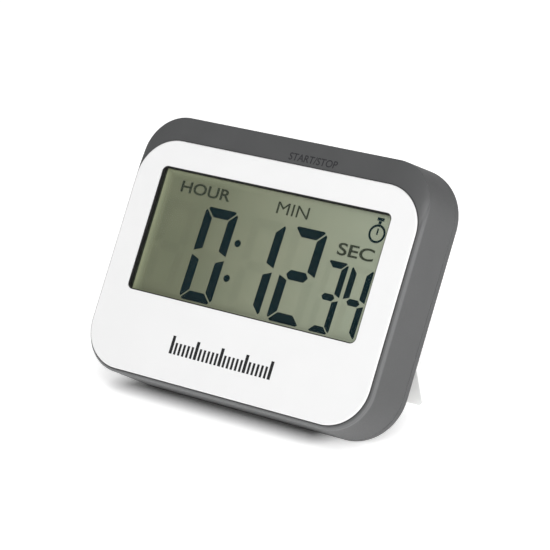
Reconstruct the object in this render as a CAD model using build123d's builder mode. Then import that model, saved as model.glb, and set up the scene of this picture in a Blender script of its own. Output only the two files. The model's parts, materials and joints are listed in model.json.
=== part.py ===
"""Digital timer: a white front panel in a grey case that leans back on a fold-out stand.

The frame has +Z up and +X to the right of the display; the display faces -Y. The origin is on
the table, under the middle of the timer. Everything except the stand is drawn from the face
plane, which is the front of the white panel, so a depth is a distance behind that plane.
"""
import os
from math import cos, radians, sin

from build123d import *

os.makedirs("parts", exist_ok=True)

# ---------------------------------------------------------------- driving dimensions, mm
lean = 30.0                 # how far the face leans back from upright, in degrees

panel_width = 94.5          # white front panel
panel_height = 68.0
panel_corner = 12.2
panel_thickness = 1.2
panel_edge = 0.45           # rounding of the panel's front edge
reveal = 0.2                # gap between the panel and the case around it
rim_gap = 0.3               # the same gap at the front edge of the rim, which slopes away

rim_depth = 0.6             # the case rim starts a little behind the face of the panel
shoulder_depth = 0.95       # the rim swells through here, so its sides are rounded
shoulder_margin = 0.5
shoulder_top = 36.6
edge_depth = 1.8            # depth of the front edge of the case
edge_width = 96.2
edge_top = 41.35
edge_bottom = -35.0
edge_corner = 12.6
case_depth = 20.8
back_width = 96.8
back_top = 43.2
back_bottom = -35.6
back_corner = 15.4
back_round = 1.2            # rounding of the rear edge, which the timer stands on
wall = 2.0
cover_wall = 1.8
seam_depth = 17.6           # the front housing ends here and the rear cover begins
seam_gap = 0.15

window_width = 77.8
window_height = 37.0
window_corner = 1.8
window_up = 7.6             # centre of the window above the centre of the panel
gasket_width = 0.3
gasket_depth = 0.3
lens_margin = 1.6           # how far the lens runs under the panel
lens_thickness = 0.6
front_wall_back = 3.2       # depth of the inner side of the front wall

stack_gap = 0.05            # room between the lens and the display behind it
film_thickness = 0.2
film_margin = 0.5           # the films stop this far inside the edge of the glass
glass_thickness = 0.7
glass_width = 80.4
glass_height = 40.0
glass_ledge = 2.4           # contact ledge of the front glass, above and below the rear glass
holder_wall = 1.0
holder_gap = 0.1
holder_corner = 2.0
strip_height = 1.6          # rubber contact strips on the glass ledges
strip_inset = 2.0
board_depth = 6.4
board_thickness = 1.0
board_width = 79.0
board_top = 37.0
board_bottom = -17.2
board_corner = 3.0
board_screws = [(-36.8, 34.4), (36.8, 34.4), (-36.8, -15.4), (36.8, -15.4)]
board_screw_radius = 0.8
board_screw_length = 2.8
board_screw_head = 1.0
board_post_radius = 1.7
screw_round = 0.4           # rounding of the screw heads

blob_centre = (2, 6)        # resin over the processor
blob_radius = 5.0
blob_height = 1.5
crystal_radius = 1.0
crystal_length = 6.0
crystal_foot = (16, 2)
chip_places = [(24, 4), (24, 8), (28, 6), (-12, 4), (-12, 8), (10, -6), (14, -6)]
chip_width = 2.0
chip_height = 1.2
chip_thickness = 0.6

case_screws = [(-42.6, 32.0), (42.6, 32.0), (-43.6, -18.0), (43.6, -18.0)]
case_screw_radius = 1.0
case_screw_head = 2.0
case_screw_length = 9.0
case_screw_seat = 1.1       # depth of the counterbore under the heads
case_screw_sunk = 0.15
case_screw_room = 0.2
cross_length = 2.2          # crossed slots in the screw heads
cross_width = 0.5
cross_depth = 0.7
case_boss_radius = 2.5

switch_size = 6.0           # tact switches behind the rear keys
switch_height = 3.5
switch_corner = 0.6
switch_room = 0.3           # left under a plunger that is pressed home
plunger_radius = 1.7
plunger_length = 2.7
plunger_sunk = 1.1          # length of the plunger inside its switch
plunger_round = 0.3
running_gap = 0.1

rear_keys = {"hour": 31.0, "minute": 20.0, "second": 9.0, "reset": -2.0}
rear_key_up = 29.6
rear_key_radius = 3.8
rear_key_sunk = 0.3         # the keys and the knob lie just below the back
rear_key_flange = 4.7
rear_key_round = 0.5
flange_thickness = 0.9
stem_radius = 1.5
key_gap = 0.2
key_travel = 0.6

start_key_width = 44.0
start_key_depth = 9.4
start_key_centre = 10.2     # depth of the middle of the key
start_key_corner = 2.0
start_key_round = 0.3
start_boss_radius = 2.4     # boss under the key that pushes the plunger
start_boss_length = 0.4
start_plunger_sunk = 1.2
start_flange_top = 39.4
start_flange = 0.9
start_flange_margin = 0.8
start_switch_height = 3.6

knob_centre = (-24.0, 33.0)
knob_travel = 3.0
knob_width = 5.0
knob_height = 3.0
knob_corner = 0.6
knob_base_margin = 0.7      # the knob's hidden flange covers the slot by this much at both ends
knob_base_height = 6.0
knob_base_corner = 1.0
knob_socket_wall = 1.0
knob_grooves = 3
groove_pitch = 1.3
groove_width = 0.5
groove_depth = 0.35
slide_switch_width = 11.0
slide_switch_height = 5.0
slide_switch_corner = 0.4
slider_width = 2.0
slider_length = 2.2         # it stands this far out of the switch
slider_sunk = 1.0
slider_grip = 1.4           # length held in the knob's socket
slider_end_room = 0.3

buzzer_centre = (-26.0, 19.4)
buzzer_radius = 8.0
buzzer_ceramic_radius = 5.6
buzzer_seat = 0.6           # height of the step that carries the brass disc
buzzer_wire = 0.35
buzzer_coil_radius = 0.9
buzzer_coil_turns = 7
buzzer_rim_contact = 6.9    # the second spring touches the brass outside the ceramic
ring_wall = 1.1
ring_rim = 0.3
sound_hole_radius = 0.7
sound_hole_count = 8
sheet_metal = 0.25

stand_open = 47.5           # angle between the opened stand and the back of the case, degrees
stand_width = 78.0
stand_thickness = 2.4
stand_corner = 3.0
stand_pin_up = 7.5
stand_pin_depth = case_depth - 1.5
stand_pin_radius = 1.0
stand_pin_length = 1.6
pin_clearance = 0.06
pin_end_room = 0.3
notch_width = 8.0           # finger notch in the foot
notch_height = 2.6
notch_corner = 2.0
recess_depth = 2.9
recess_gap = 0.4
recess_bottom = -32.6
tub_floor = 1.4
tub_wall = 1.5
tub_corner = 4.0

cell_radius = 5.15          # one AAA cell
cell_length = 44.5
cell_nub_radius = 1.9
cell_nub_length = 1.0
cell_round = 0.5
cell_room = 0.2
cell_up = -24.5
cell_depth = 10.4
box_half_length = 25.3
box_half_height = 5.9
box_wall = 1.1
contact_half = 4.4
tab_height = 2.2            # solder tabs of the contact plates, through slots in the battery box
tab_reach = 2.4             # how far they reach up behind the board
spring_wire = 0.55
spring_radius = 2.7
spring_turns = 4
door_width = 55.0
door_height = 14.0
door_thickness = 1.0
door_travel = 7.5
door_corner = 0.8
door_gap = 0.1              # the door lies this much below the floor of the recess
door_tongue = 0.7
tongue_step = 0.4
tongue_inset = 3.0
pocket_gap = 0.3
pocket_wall = 1.2
groove_inset = 1.5          # the tongue grooves stop this far inside the ends of the pocket
grip_ribs = 5               # finger grooves in the door
grip_pitch = 1.6
grip_width = 0.7
grip_length = 8.0
grip_depth = 0.3
grip_inset = 6.0

lip_gap = 0.15              # lip of the rear cover inside the front housing
lip_width = 1.0
lip_length = 1.5
overlap = 0.2               # walls of the cover reach this far into each other

# ---------------------------------------------------------------- reference planes
lean_sin = sin(radians(lean))
lean_cos = cos(radians(lean))

# The timer stands on the rounding of its lower rear edge, and the bounding box is centred.
side_length = case_depth - edge_depth
round_depth = case_depth - back_round
lower_round = back_bottom + back_round * (1 + (edge_bottom - back_bottom) / side_length)
upper_round = back_top - back_round * (1 + (back_top - edge_top) / side_length)
face_height = back_round - lower_round * lean_cos + round_depth * lean_sin
front_reach = (panel_edge - panel_height / 2) * lean_sin + panel_edge * lean_cos - panel_edge
rear_reach = upper_round * lean_sin + round_depth * lean_cos + back_round
face_shift = -(front_reach + rear_reach) / 2

face = Plane(origin=(0, face_shift, face_height), x_dir=(1, 0, 0), z_dir=(0, -lean_cos, lean_sin))
rear_axis = Axis((0, 0, 0), -face.z_dir)
up_axis = Axis((0, 0, 0), face.y_dir)


def behind(depth):
    """Plane parallel to the face, at this depth; x runs right and y runs up the face."""
    return face.offset(-depth)


def across(right):
    """Plane square to the width; x runs up the face and y runs towards the front."""
    return Plane(origin=face.from_local_coords((right, 0, 0)), x_dir=face.y_dir, z_dir=(1, 0, 0))


def above(up):
    """Plane square to the face's height; x runs right and y is the depth."""
    return Plane(origin=face.from_local_coords((0, up, 0)), x_dir=(1, 0, 0), z_dir=face.y_dir)


# ---------------------------------------------------------------- shapes used more than once
def case_outline(depth, inset=0.0):
    """Outline of the case at a depth: it widens evenly from its front edge to its back."""
    share = (depth - edge_depth) / side_length
    width = edge_width + share * (back_width - edge_width) - 2 * inset
    top = edge_top + share * (back_top - edge_top) - inset
    bottom = edge_bottom + share * (back_bottom - edge_bottom) + inset
    corner = edge_corner + share * (back_corner - edge_corner) - inset
    with BuildSketch(behind(depth)) as outline:
        with Locations((0, (top + bottom) / 2)):
            RectangleRounded(width, top - bottom, corner)
    return outline.sketch


def case_slab(near, far, inset=0.0):
    """The case between two depths, made smaller by inset all round."""
    with BuildPart() as slab:
        loft([case_outline(near, inset).face(), case_outline(far, inset).face()])
    return slab.part


def block(centre, width, height, near, far, corner=0.0):
    """A plate or box drawn on the face and reaching from one depth to another."""
    with BuildPart() as solid:
        with BuildSketch(behind(near)):
            with Locations(centre):
                if corner:
                    RectangleRounded(width, height, corner)
                else:
                    Rectangle(width, height)
        extrude(amount=near - far)
    return solid.part


def posts(centres, radius, near, far):
    """Round posts or holes at several places, from one depth to another."""
    with BuildPart() as solid:
        with BuildSketch(behind(near)):
            with Locations(*centres):
                Circle(radius)
        extrude(amount=near - far)
    return solid.part


def coil(plane, radius, wire, length, turns):
    """A coil spring that starts on a plane and stands along the plane's normal."""
    pitch = (length - wire) / turns
    with BuildPart(mode=Mode.PRIVATE) as spring:
        with BuildLine():
            path = Helix(pitch, length - wire, radius)
        with BuildSketch(Plane(origin=path @ 0, z_dir=path % 0)):
            Circle(wire / 2)
        sweep(path=path, is_frenet=True)
    return plane.offset(wire / 2).location * spring.part


def finish(builder, name):
    """Label a finished piece and write it out."""
    builder.part.label = name
    export_step(builder.part, f"parts/{name}.step")


window_centre = (0, window_up)
lens_width = window_width + 2 * lens_margin
lens_height = window_height + 2 * lens_margin
lens_back = panel_thickness + lens_thickness
recess_floor = case_depth - recess_depth
recess_top = stand_pin_up + stand_thickness / 2 + recess_gap
recess_width = stand_width + 2 * recess_gap
cover_inside = case_depth - cover_wall
board_back = board_depth + board_thickness

# ---------------------------------------------------------------- front housing
with BuildPart() as rim:
    with BuildSketch(behind(rim_depth)) as rim_outline:
        RectangleRounded(panel_width + 2 * rim_gap, panel_height + 2 * rim_gap,
                         panel_corner + rim_gap)
    with BuildSketch(behind(shoulder_depth)) as shoulder_outline:
        shoulder_bottom = -panel_height / 2 - shoulder_margin
        with Locations((0, (shoulder_top + shoulder_bottom) / 2)):
            RectangleRounded(panel_width + 2 * shoulder_margin, shoulder_top - shoulder_bottom,
                             panel_corner + shoulder_margin)
    loft([rim_outline.sketch.face(), shoulder_outline.sketch.face(),
          case_outline(edge_depth).face()])

start_opening_gap = 2 * key_gap
with BuildPart() as start_opening:
    with BuildSketch(above(start_flange_top)):
        with Locations((0, start_key_centre)):
            RectangleRounded(start_key_width + start_opening_gap,
                             start_key_depth + start_opening_gap, start_key_corner + key_gap)
    extrude(amount=back_top)

with BuildPart() as front_housing:
    add(rim.part)
    add(case_slab(edge_depth, seam_depth))
    add(block((0, 0), panel_width + 2 * reveal, panel_height + 2 * reveal, 0, panel_thickness,
              panel_corner + reveal), mode=Mode.SUBTRACT)
    add(block(window_centre, lens_width + running_gap, lens_height + running_gap, 0,
              front_wall_back), mode=Mode.SUBTRACT)
    add(case_slab(front_wall_back, seam_depth, wall), mode=Mode.SUBTRACT)
    add(start_opening.part, mode=Mode.SUBTRACT)
    add(posts(case_screws, case_boss_radius, front_wall_back, cover_inside))
    add(posts(case_screws, case_screw_radius, cover_inside - case_screw_length, cover_inside),
        mode=Mode.SUBTRACT)
    add(posts(board_screws, board_post_radius, front_wall_back, board_depth))
    add(posts(board_screws, board_screw_radius, front_wall_back, board_depth),
        mode=Mode.SUBTRACT)
finish(front_housing, "front_housing")

# ---------------------------------------------------------------- front panel, gasket and lens
with BuildPart() as front_panel:
    add(block((0, 0), panel_width, panel_height, 0, panel_thickness, panel_corner))
    fillet(front_panel.faces().sort_by(rear_axis)[0].edges(), radius=panel_edge)
    add(block(window_centre, window_width, window_height, 0, panel_thickness, window_corner),
        mode=Mode.SUBTRACT)
finish(front_panel, "front_panel")

with BuildPart() as window_gasket:
    add(block(window_centre, window_width, window_height, gasket_depth, panel_thickness,
              window_corner))
    add(block(window_centre, window_width - 2 * gasket_width, window_height - 2 * gasket_width,
              gasket_depth, panel_thickness, window_corner - gasket_width), mode=Mode.SUBTRACT)
finish(window_gasket, "window_gasket")

with BuildPart() as display_lens:
    add(block(window_centre, lens_width, lens_height, panel_thickness, lens_back,
              window_corner))
finish(display_lens, "display_lens")

# ---------------------------------------------------------------- liquid crystal display
film_front = lens_back + stack_gap
glass_front = film_front + film_thickness
glass_middle = glass_front + glass_thickness
glass_back = glass_middle + glass_thickness
ledge_height = glass_height - 2 * glass_ledge
film_width = glass_width - 2 * film_margin

with BuildPart() as front_polarizer:
    add(block(window_centre, film_width, glass_height - 2 * film_margin, film_front, glass_front))
finish(front_polarizer, "front_polarizer")

with BuildPart() as display_front_glass:
    add(block(window_centre, glass_width, glass_height, glass_front, glass_middle))
finish(display_front_glass, "display_front_glass")

with BuildPart() as display_rear_glass:
    add(block(window_centre, glass_width, ledge_height, glass_middle, glass_back))
finish(display_rear_glass, "display_rear_glass")

with BuildPart() as rear_reflector:
    add(block(window_centre, film_width, ledge_height - 2 * film_margin, glass_back,
              glass_back + film_thickness))
finish(rear_reflector, "rear_reflector")

holder_front = front_wall_back + stack_gap
with BuildPart() as display_holder:
    add(block(window_centre, glass_width + 2 * (holder_wall + holder_gap),
              glass_height + 2 * (holder_wall + holder_gap), holder_front, board_depth,
              holder_corner))
    add(block(window_centre, glass_width + 2 * holder_gap, glass_height + 2 * holder_gap,
              holder_front, board_depth), mode=Mode.SUBTRACT)
finish(display_holder, "display_holder")

strip_shift = glass_height / 2 - glass_ledge / 2
with BuildPart() as contact_strips:
    for side in (-1, 1):
        add(block((0, window_up + side * strip_shift), glass_width - 2 * strip_inset,
                  strip_height, glass_middle, board_depth))
finish(contact_strips, "contact_strips")

# ---------------------------------------------------------------- circuit board
with BuildPart() as main_board:
    add(block((0, (board_top + board_bottom) / 2), board_width, board_top - board_bottom,
              board_depth, board_back, board_corner))
    add(posts(board_screws, board_screw_radius + running_gap, board_depth, board_back),
        mode=Mode.SUBTRACT)
finish(main_board, "main_board")

with BuildPart() as processor_blob:
    add(posts([blob_centre], blob_radius, board_back, board_back + blob_height))
    fillet(processor_blob.faces().sort_by(rear_axis)[-1].edges(), radius=0.9 * blob_height)
finish(processor_blob, "processor_blob")

crystal_right, crystal_up = crystal_foot
with BuildPart() as quartz_crystal:
    with BuildSketch(above(crystal_up)):
        with Locations((crystal_right, board_back + crystal_radius)):
            Circle(crystal_radius)
    extrude(amount=crystal_length)
    fillet(quartz_crystal.faces().sort_by(up_axis)[-1].edges(), radius=crystal_radius / 2)
finish(quartz_crystal, "quartz_crystal")

with BuildPart() as board_chips:
    for place in chip_places:
        add(block(place, chip_width, chip_height, board_back, board_back + chip_thickness))
finish(board_chips, "board_chips")

with BuildPart() as board_fixings:
    add(posts(board_screws, board_screw_radius, board_depth - board_screw_length, board_back))
    add(posts(board_screws, 2 * board_screw_radius, board_back, board_back + board_screw_head))
    fillet(board_fixings.faces().sort_by(rear_axis)[-len(board_screws):].edges(),
           radius=screw_round)
finish(board_fixings, "board_screws")

# ---------------------------------------------------------------- rear keys and switches
key_places = [(right, rear_key_up) for right in rear_keys.values()]
switch_back = board_back + switch_height
plunger_front = switch_back - plunger_sunk
plunger_back = plunger_front + plunger_length
with BuildPart() as key_switches:
    for place in key_places:
        add(block(place, switch_size, switch_size, board_back, switch_back, switch_corner))
    add(posts(key_places, plunger_radius + running_gap, plunger_front - key_travel - switch_room,
              switch_back), mode=Mode.SUBTRACT)
finish(key_switches, "key_switches")

flange_back = cover_inside - running_gap
flange_front = flange_back - flange_thickness
key_top = case_depth - rear_key_sunk
for name, place in zip(rear_keys, key_places):
    with BuildPart() as plunger:
        add(posts([place], plunger_radius, plunger_front, plunger_back))
        fillet(plunger.faces().sort_by(rear_axis)[-1].edges(), radius=plunger_round)
    finish(plunger, f"{name}_plunger")

    with BuildPart() as rear_key:
        add(posts([place], stem_radius, plunger_back, flange_front))
        add(posts([place], rear_key_flange, flange_front, flange_back))
        add(posts([place], rear_key_radius, flange_back, key_top))
        fillet(rear_key.faces().sort_by(rear_axis)[-1].edges(), radius=rear_key_round)
    finish(rear_key, f"{name}_key")

# ---------------------------------------------------------------- start/stop key on the top
start_switch_depth = board_back + switch_size / 2     # line of the plunger, behind the face
start_plunger_foot = board_top - start_plunger_sunk
start_key_foot = start_flange_top - start_flange - start_boss_length
with BuildPart() as start_switch:
    add(block((0, board_top - start_switch_height / 2), switch_size, start_switch_height,
              board_back, board_back + switch_size, switch_corner))
    with BuildSketch(above(start_plunger_foot - key_travel - switch_room)):
        with Locations((0, start_switch_depth)):
            Circle(plunger_radius + running_gap)
    extrude(amount=start_switch_height, mode=Mode.SUBTRACT)
finish(start_switch, "start_switch")

with BuildPart() as start_plunger:
    with BuildSketch(above(start_plunger_foot)):
        with Locations((0, start_switch_depth)):
            Circle(plunger_radius)
    extrude(amount=start_key_foot - start_plunger_foot)
finish(start_plunger, "start_plunger")

with BuildPart() as start_key:
    with BuildSketch(above(start_flange_top)):
        with Locations((0, start_key_centre)):
            RectangleRounded(start_key_width, start_key_depth, start_key_corner)
    extrude(amount=back_top - start_flange_top)
    add(case_slab(edge_depth, seam_depth), mode=Mode.INTERSECT)
    fillet(start_key.faces().sort_by(up_axis)[-1].edges(), radius=start_key_round)
    with BuildSketch(above(start_flange_top - start_flange)):
        with Locations((0, start_key_centre)):
            RectangleRounded(start_key_width + 2 * start_flange_margin,
                             start_key_depth + 2 * start_flange_margin, start_key_corner)
    extrude(amount=start_flange)
    with BuildSketch(above(start_key_foot)):
        with Locations((0, start_switch_depth)):
            Circle(start_boss_radius)
    extrude(amount=start_flange_top - start_key_foot)
finish(start_key, "start_key")

# ---------------------------------------------------------------- mode switch
knob_right, knob_up = knob_centre
slot_centre = (knob_right + knob_travel / 2, knob_up)
slider_back = switch_back + slider_length
with BuildPart() as slide_switch:
    add(block(slot_centre, slide_switch_width, slide_switch_height, board_back, switch_back,
              slide_switch_corner))
    add(block(slot_centre, slider_width + knob_travel + 2 * slider_end_room,
              slider_width + 2 * running_gap, switch_back - slider_sunk - running_gap,
              switch_back), mode=Mode.SUBTRACT)
finish(slide_switch, "slide_switch")

with BuildPart() as mode_slider:
    add(block(knob_centre, slider_width, slider_width, switch_back - slider_sunk, slider_back))
finish(mode_slider, "mode_slider")

knob_socket = slider_width + 2 * knob_socket_wall
knob_base_width = knob_width + 2 * (knob_travel + knob_base_margin)
with BuildPart() as mode_knob:
    add(block(knob_centre, knob_socket, knob_socket, slider_back - slider_grip, flange_front))
    add(block(knob_centre, slider_width, slider_width, slider_back - slider_grip, slider_back),
        mode=Mode.SUBTRACT)
    add(block(knob_centre, knob_base_width, knob_base_height, flange_front, flange_back,
              knob_base_corner))
    add(block(knob_centre, knob_width, knob_height, flange_back, key_top, knob_corner))
    for groove in range(knob_grooves):
        groove_right = knob_right + (groove - (knob_grooves - 1) / 2) * groove_pitch
        add(block((groove_right, knob_up), groove_width, knob_height, key_top - groove_depth,
                  key_top), mode=Mode.SUBTRACT)
finish(mode_knob, "mode_knob")

# ---------------------------------------------------------------- buzzer
disc_back = cover_inside - buzzer_seat
disc_front = disc_back - sheet_metal
with BuildPart() as buzzer_plate:
    add(posts([buzzer_centre], buzzer_radius, disc_front, disc_back))
finish(buzzer_plate, "buzzer_plate")

with BuildPart() as buzzer_ceramic:
    add(posts([buzzer_centre], buzzer_ceramic_radius, disc_front - sheet_metal, disc_front))
finish(buzzer_ceramic, "buzzer_ceramic")

buzzer_right, buzzer_up = buzzer_centre
buzzer_contacts = [(buzzer_right, disc_front - sheet_metal),
                   (buzzer_right + buzzer_rim_contact, disc_front)]
with BuildPart() as buzzer_springs:
    for spring_right, reach in buzzer_contacts:
        foot = Plane(origin=behind(board_back).from_local_coords((spring_right, buzzer_up, 0)),
                     x_dir=(1, 0, 0), z_dir=-face.z_dir)
        add(coil(foot, buzzer_coil_radius, buzzer_wire, reach - board_back, buzzer_coil_turns))
finish(buzzer_springs, "buzzer_springs")

# ---------------------------------------------------------------- battery, contacts and door
cell_end = box_half_length - sheet_metal
with BuildPart() as battery_cell:
    with BuildSketch(across(cell_end - cell_nub_length)):
        with Locations((cell_up, -cell_depth)):
            Circle(cell_radius)
    extrude(amount=cell_nub_length - cell_length)
    fillet(battery_cell.edges().filter_by(GeomType.CIRCLE), radius=cell_round)
    with BuildSketch(across(cell_end - cell_nub_length)):
        with Locations((cell_up, -cell_depth)):
            Circle(cell_nub_radius)
    extrude(amount=cell_nub_length)
finish(battery_cell, "battery_cell")

tab_top = board_bottom + tab_reach
with BuildPart() as battery_contacts:
    for plate_right in (-box_half_length, box_half_length - sheet_metal):
        with BuildSketch(across(plate_right)):
            with Locations((cell_up, -cell_depth)):
                Rectangle(2 * contact_half, 2 * contact_half)
            with Locations(((cell_up + tab_top) / 2, -board_back - tab_height / 2)):
                Rectangle(tab_top - cell_up, tab_height)
        extrude(amount=sheet_metal)
finish(battery_contacts, "battery_contacts")

spring_length = 2 * box_half_length - 2 * sheet_metal - cell_length
with BuildPart() as battery_spring:
    spring_foot = Plane(
        origin=face.from_local_coords((sheet_metal - box_half_length, cell_up, -cell_depth)),
        x_dir=face.y_dir, z_dir=(1, 0, 0))
    add(coil(spring_foot, spring_radius, spring_wire, spring_length, spring_turns))
finish(battery_spring, "battery_spring")

door_back = recess_floor - door_gap
door_front = door_back - door_thickness
tongue_back = door_back - tongue_step
door_centre = (0, cell_up)
with BuildPart() as battery_door:
    add(block(door_centre, door_width, door_height, door_front, door_back, door_corner))
    add(block(door_centre, door_width - 2 * tongue_inset, door_height + 2 * door_tongue,
              door_front, tongue_back))
    for rib in range(grip_ribs):
        rib_right = door_width / 2 - grip_inset - grip_pitch * rib
        add(block((rib_right, cell_up), grip_width, grip_length, door_back - grip_depth,
                  door_back), mode=Mode.SUBTRACT)
finish(battery_door, "battery_door")

# ---------------------------------------------------------------- rear cover
box_centre = (0, cell_up)
box_front = cell_depth - cell_radius - cell_room
pocket_floor = door_front - door_gap
pocket_front = pocket_floor - pocket_wall
pocket_width = door_width + door_travel + 2 * pocket_gap
pocket_centre = (door_travel / 2, cell_up)
pocket_height = door_height + 2 * pocket_gap
groove_size = (pocket_width - 2 * groove_inset, pocket_height + 2 * (door_tongue + pocket_gap))
tub_height = recess_top - recess_bottom
tub_up = (recess_top + recess_bottom) / 2
lip_depth = seam_depth - lip_length
lip_inset = wall + lip_gap

with BuildPart() as tub:
    add(block((0, tub_up), recess_width + 2 * tub_wall, tub_height + 2 * tub_wall,
              recess_floor - tub_floor, cover_inside + overlap, tub_corner))
    add(block(pocket_centre, pocket_width + 2 * pocket_wall, groove_size[1] + 2 * pocket_wall,
              pocket_front, recess_floor))
    add(case_slab(pocket_front - pocket_wall, cover_inside + 2 * overlap, lip_inset),
        mode=Mode.INTERSECT)
    add(block(box_centre, 2 * (box_half_length + box_wall), 2 * (box_half_height + box_wall),
              box_front - box_wall, pocket_floor))

with BuildPart() as lip:
    add(case_slab(lip_depth, cover_inside + overlap, lip_inset))
    add(case_slab(lip_depth - lip_width, case_depth, lip_inset + lip_width),
        mode=Mode.SUBTRACT)
    add(posts(case_screws, case_boss_radius + lip_gap, lip_depth, cover_inside + overlap),
        mode=Mode.SUBTRACT)

ring_front = disc_front - ring_rim
with BuildPart() as sound_holes:
    with BuildSketch(behind(cover_inside)):
        with Locations(buzzer_centre):
            Circle(sound_hole_radius)
            with PolarLocations(buzzer_radius / 2, sound_hole_count):
                Circle(sound_hole_radius)
    extrude(amount=-cover_wall)

with BuildPart() as pin_hole:
    with BuildSketch(across(0)):
        with Locations((stand_pin_up, -stand_pin_depth)):
            Circle(stand_pin_radius + pin_clearance)
    extrude(amount=stand_width / 2 + stand_pin_length + pin_end_room, both=True)

screw_seat = case_depth - case_screw_seat
with BuildPart() as rear_cover:
    add(case_slab(seam_depth + seam_gap, case_depth))
    fillet(rear_cover.faces().sort_by(rear_axis)[-1].edges(), radius=back_round)
    add(case_slab(seam_depth, cover_inside, lip_inset + lip_width), mode=Mode.SUBTRACT)
    add(posts(case_screws, case_boss_radius + lip_gap, seam_depth, cover_inside),
        mode=Mode.SUBTRACT)
    add(lip.part)
    add(tub.part)
    add(block((0, tub_up), recess_width, tub_height, recess_floor, case_depth,
              stand_corner), mode=Mode.SUBTRACT)
    add(block((0, recess_top - stand_corner), recess_width, 2 * stand_corner, recess_floor,
              case_depth), mode=Mode.SUBTRACT)
    add(block(pocket_centre, pocket_width, pocket_height, pocket_floor, recess_floor),
        mode=Mode.SUBTRACT)
    add(block(pocket_centre, *groove_size, pocket_floor, tongue_back + door_gap),
        mode=Mode.SUBTRACT)
    add(block(box_centre, 2 * box_half_length, 2 * box_half_height, box_front, recess_floor),
        mode=Mode.SUBTRACT)
    for side in (-1, 1):
        add(block((side * (box_half_length - sheet_metal / 2), cell_up + box_half_height),
                  sheet_metal + running_gap, 3 * box_wall, board_back,
                  board_back + tab_height + running_gap), mode=Mode.SUBTRACT)
    add(pin_hole.part, mode=Mode.SUBTRACT)
    add(posts(key_places, rear_key_radius + key_gap, cover_inside, case_depth),
        mode=Mode.SUBTRACT)
    add(block(slot_centre, knob_width + knob_travel + 2 * key_gap, knob_height + 2 * key_gap,
              cover_inside, case_depth, knob_corner + running_gap), mode=Mode.SUBTRACT)
    add(posts([buzzer_centre], buzzer_radius + ring_wall, ring_front, cover_inside))
    add(posts([buzzer_centre], buzzer_radius + running_gap, ring_front, disc_back),
        mode=Mode.SUBTRACT)
    add(posts([buzzer_centre], buzzer_radius - ring_wall, disc_back, cover_inside),
        mode=Mode.SUBTRACT)
    add(sound_holes.part, mode=Mode.SUBTRACT)
    add(posts(case_screws, case_screw_radius + running_gap, cover_inside, case_depth),
        mode=Mode.SUBTRACT)
    add(posts(case_screws, case_screw_head + case_screw_room, screw_seat, case_depth),
        mode=Mode.SUBTRACT)
finish(rear_cover, "rear_cover")

with BuildPart() as cross_slots:
    with BuildSketch(behind(case_depth)):
        with Locations(*case_screws):
            Rectangle(cross_length, cross_width)
            Rectangle(cross_width, cross_length)
    extrude(amount=cross_depth)

with BuildPart() as case_fixings:
    add(posts(case_screws, case_screw_radius, screw_seat - case_screw_length, screw_seat))
    add(posts(case_screws, case_screw_head, screw_seat, case_depth - case_screw_sunk))
    fillet(case_fixings.faces().sort_by(rear_axis)[-len(case_screws):].edges(),
           radius=screw_round)
    add(cross_slots.part, mode=Mode.SUBTRACT)
finish(case_fixings, "case_screws")

# ---------------------------------------------------------------- stand, drawn opened
leg_tilt = radians(stand_open - lean)
pin_point = face.from_local_coords((0, stand_pin_up, -stand_pin_depth))
tip_radius = stand_thickness / 2
leg_length = (pin_point.Z - tip_radius) / cos(leg_tilt)
leg = Plane(origin=pin_point, x_dir=(1, 0, 0), z_dir=(0, -cos(leg_tilt), -sin(leg_tilt)))
leg_side = Plane(origin=pin_point, x_dir=leg.y_dir, z_dir=(1, 0, 0))

with BuildPart() as stand_outline:
    with BuildSketch(leg):
        with Locations((0, -leg_length / 2)):
            RectangleRounded(stand_width, leg_length + 2 * tip_radius, stand_corner)
        with Locations((0, 0)):
            Rectangle(stand_width, 2 * tip_radius)
        with Locations((0, -leg_length - tip_radius)):
            RectangleRounded(notch_width, 2 * notch_height, notch_corner, mode=Mode.SUBTRACT)
    extrude(amount=stand_thickness, both=True)

with BuildPart() as stand:
    with BuildSketch(leg_side):
        with Locations((-leg_length / 2, 0)):
            SlotCenterToCenter(leg_length, stand_thickness)
    extrude(amount=stand_width / 2, both=True)
    add(stand_outline.part, mode=Mode.INTERSECT)
    with BuildSketch(leg_side):
        Circle(stand_pin_radius)
    extrude(amount=stand_width / 2 + stand_pin_length, both=True)
finish(stand, "stand")
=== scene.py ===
"""Looks of the digital timer: materials, display, printed marks, floor, light and camera."""
import json
from math import cos, pi, radians, sin, tan

import bmesh
import bpy
from mathutils import Matrix, Vector


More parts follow.
